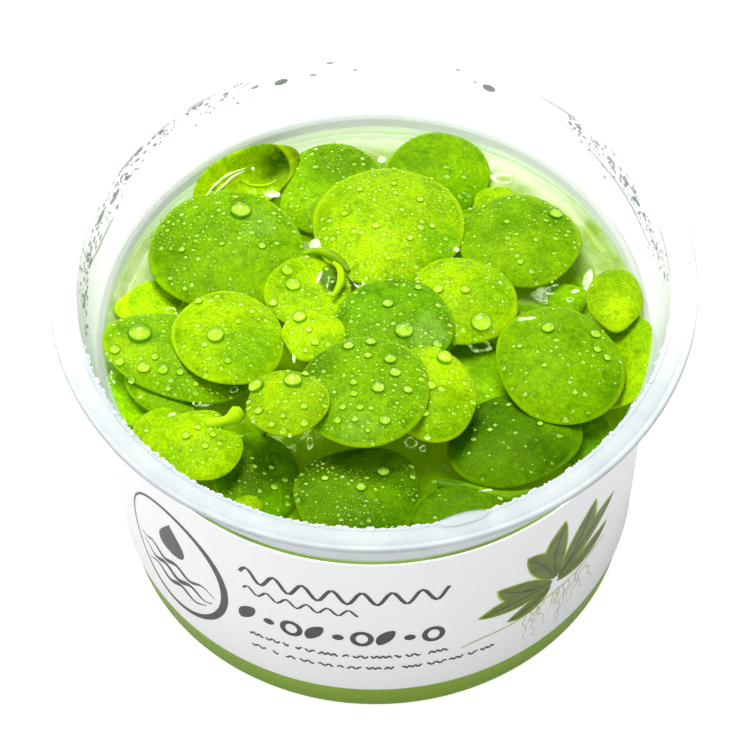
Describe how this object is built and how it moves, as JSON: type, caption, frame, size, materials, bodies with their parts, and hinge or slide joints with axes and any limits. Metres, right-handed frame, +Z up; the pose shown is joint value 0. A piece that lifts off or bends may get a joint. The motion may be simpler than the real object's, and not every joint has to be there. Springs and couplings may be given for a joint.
{
  "type": "cup of amazon frogbit plantlets",
  "caption": "Open round tissue-culture cup of clear plastic, filled with gel and crowded at the top with small round floating amazon frogbit leaves.",
  "frame": {"origin": "middle of the cup's foot, on the surface that it stands on", "axes": "+Z up along the cup's axis; -Y is the side that the picture sees"},
  "size_m": [0.095, 0.095, 0.0565],
  "materials": {
    "clear_plastic": "clear moulded polypropylene, smooth, slightly frosted collar",
    "label_paper": null,
    "gel": "clear wet agar-like gel, tinted green by the plants in it",
    "rootstock": "soft pale green plant tissue",
    "leaf_lime": "waxy bright lime leaf, wet",
    "leaf_mid": "waxy grass green leaf, wet",
    "leaf_dark": "waxy dark green leaf, wet"
  },
  "bodies": {
    "root": {"cup": "clear_plastic", "growth_medium": "gel", "label_sleeve": "label_paper", "leaf_back_behind": "leaf_dark", "leaf_back_bright": "leaf_lime", "leaf_back_curl": "leaf_mid", "leaf_back_far": "leaf_dark", "leaf_back_left": "leaf_mid", "leaf_back_right": "leaf_mid", "leaf_back_small": "leaf_lime", "leaf_centre_curl": "leaf_lime", "leaf_centre_dark": "leaf_dark", "leaf_centre_small": "leaf_lime", "leaf_front_crescent": "leaf_lime", "leaf_front_dark": "leaf_dark", "leaf_front_drops": "leaf_dark", "leaf_front_edge_left": "leaf_lime", "leaf_front_notched": "leaf_lime", "leaf_front_right": "leaf_dark", "leaf_front_wide": "leaf_dark", "leaf_inner_lime": "leaf_lime", "leaf_left_drops": "leaf_mid", "leaf_left_lime": "leaf_lime", "leaf_left_tip": "leaf_lime", "leaf_right_inner": "leaf_lime", "leaf_right_tall": "leaf_lime", "leaf_right_wide": "leaf_mid", "leaf_rim_front_a": "leaf_dark", "leaf_rim_front_b": "leaf_mid", "leaf_rim_front_left": "leaf_lime", "leaf_rolled_front": "leaf_lime", "leaf_small_right": "leaf_dark", "leaf_under_centre": "leaf_mid", "leaf_under_left_a": "leaf_mid", "leaf_under_left_b": "leaf_mid", "leaf_under_right": "leaf_dark", "leaf_wall_right": "leaf_lime", "rootstock_back_far_left": "rootstock", "rootstock_back_left": "rootstock", "rootstock_back_right": "rootstock", "rootstock_centre": "rootstock", "rootstock_far_left": "rootstock", "rootstock_front": "rootstock", "rootstock_front_far_left": "rootstock", "rootstock_front_left": "rootstock", "rootstock_front_right": "rootstock", "rootstock_inner_left": "rootstock", "rootstock_left": "rootstock", "rootstock_right": "rootstock", "rootstock_rim_left": "rootstock"}
  },
  "joints": []
}
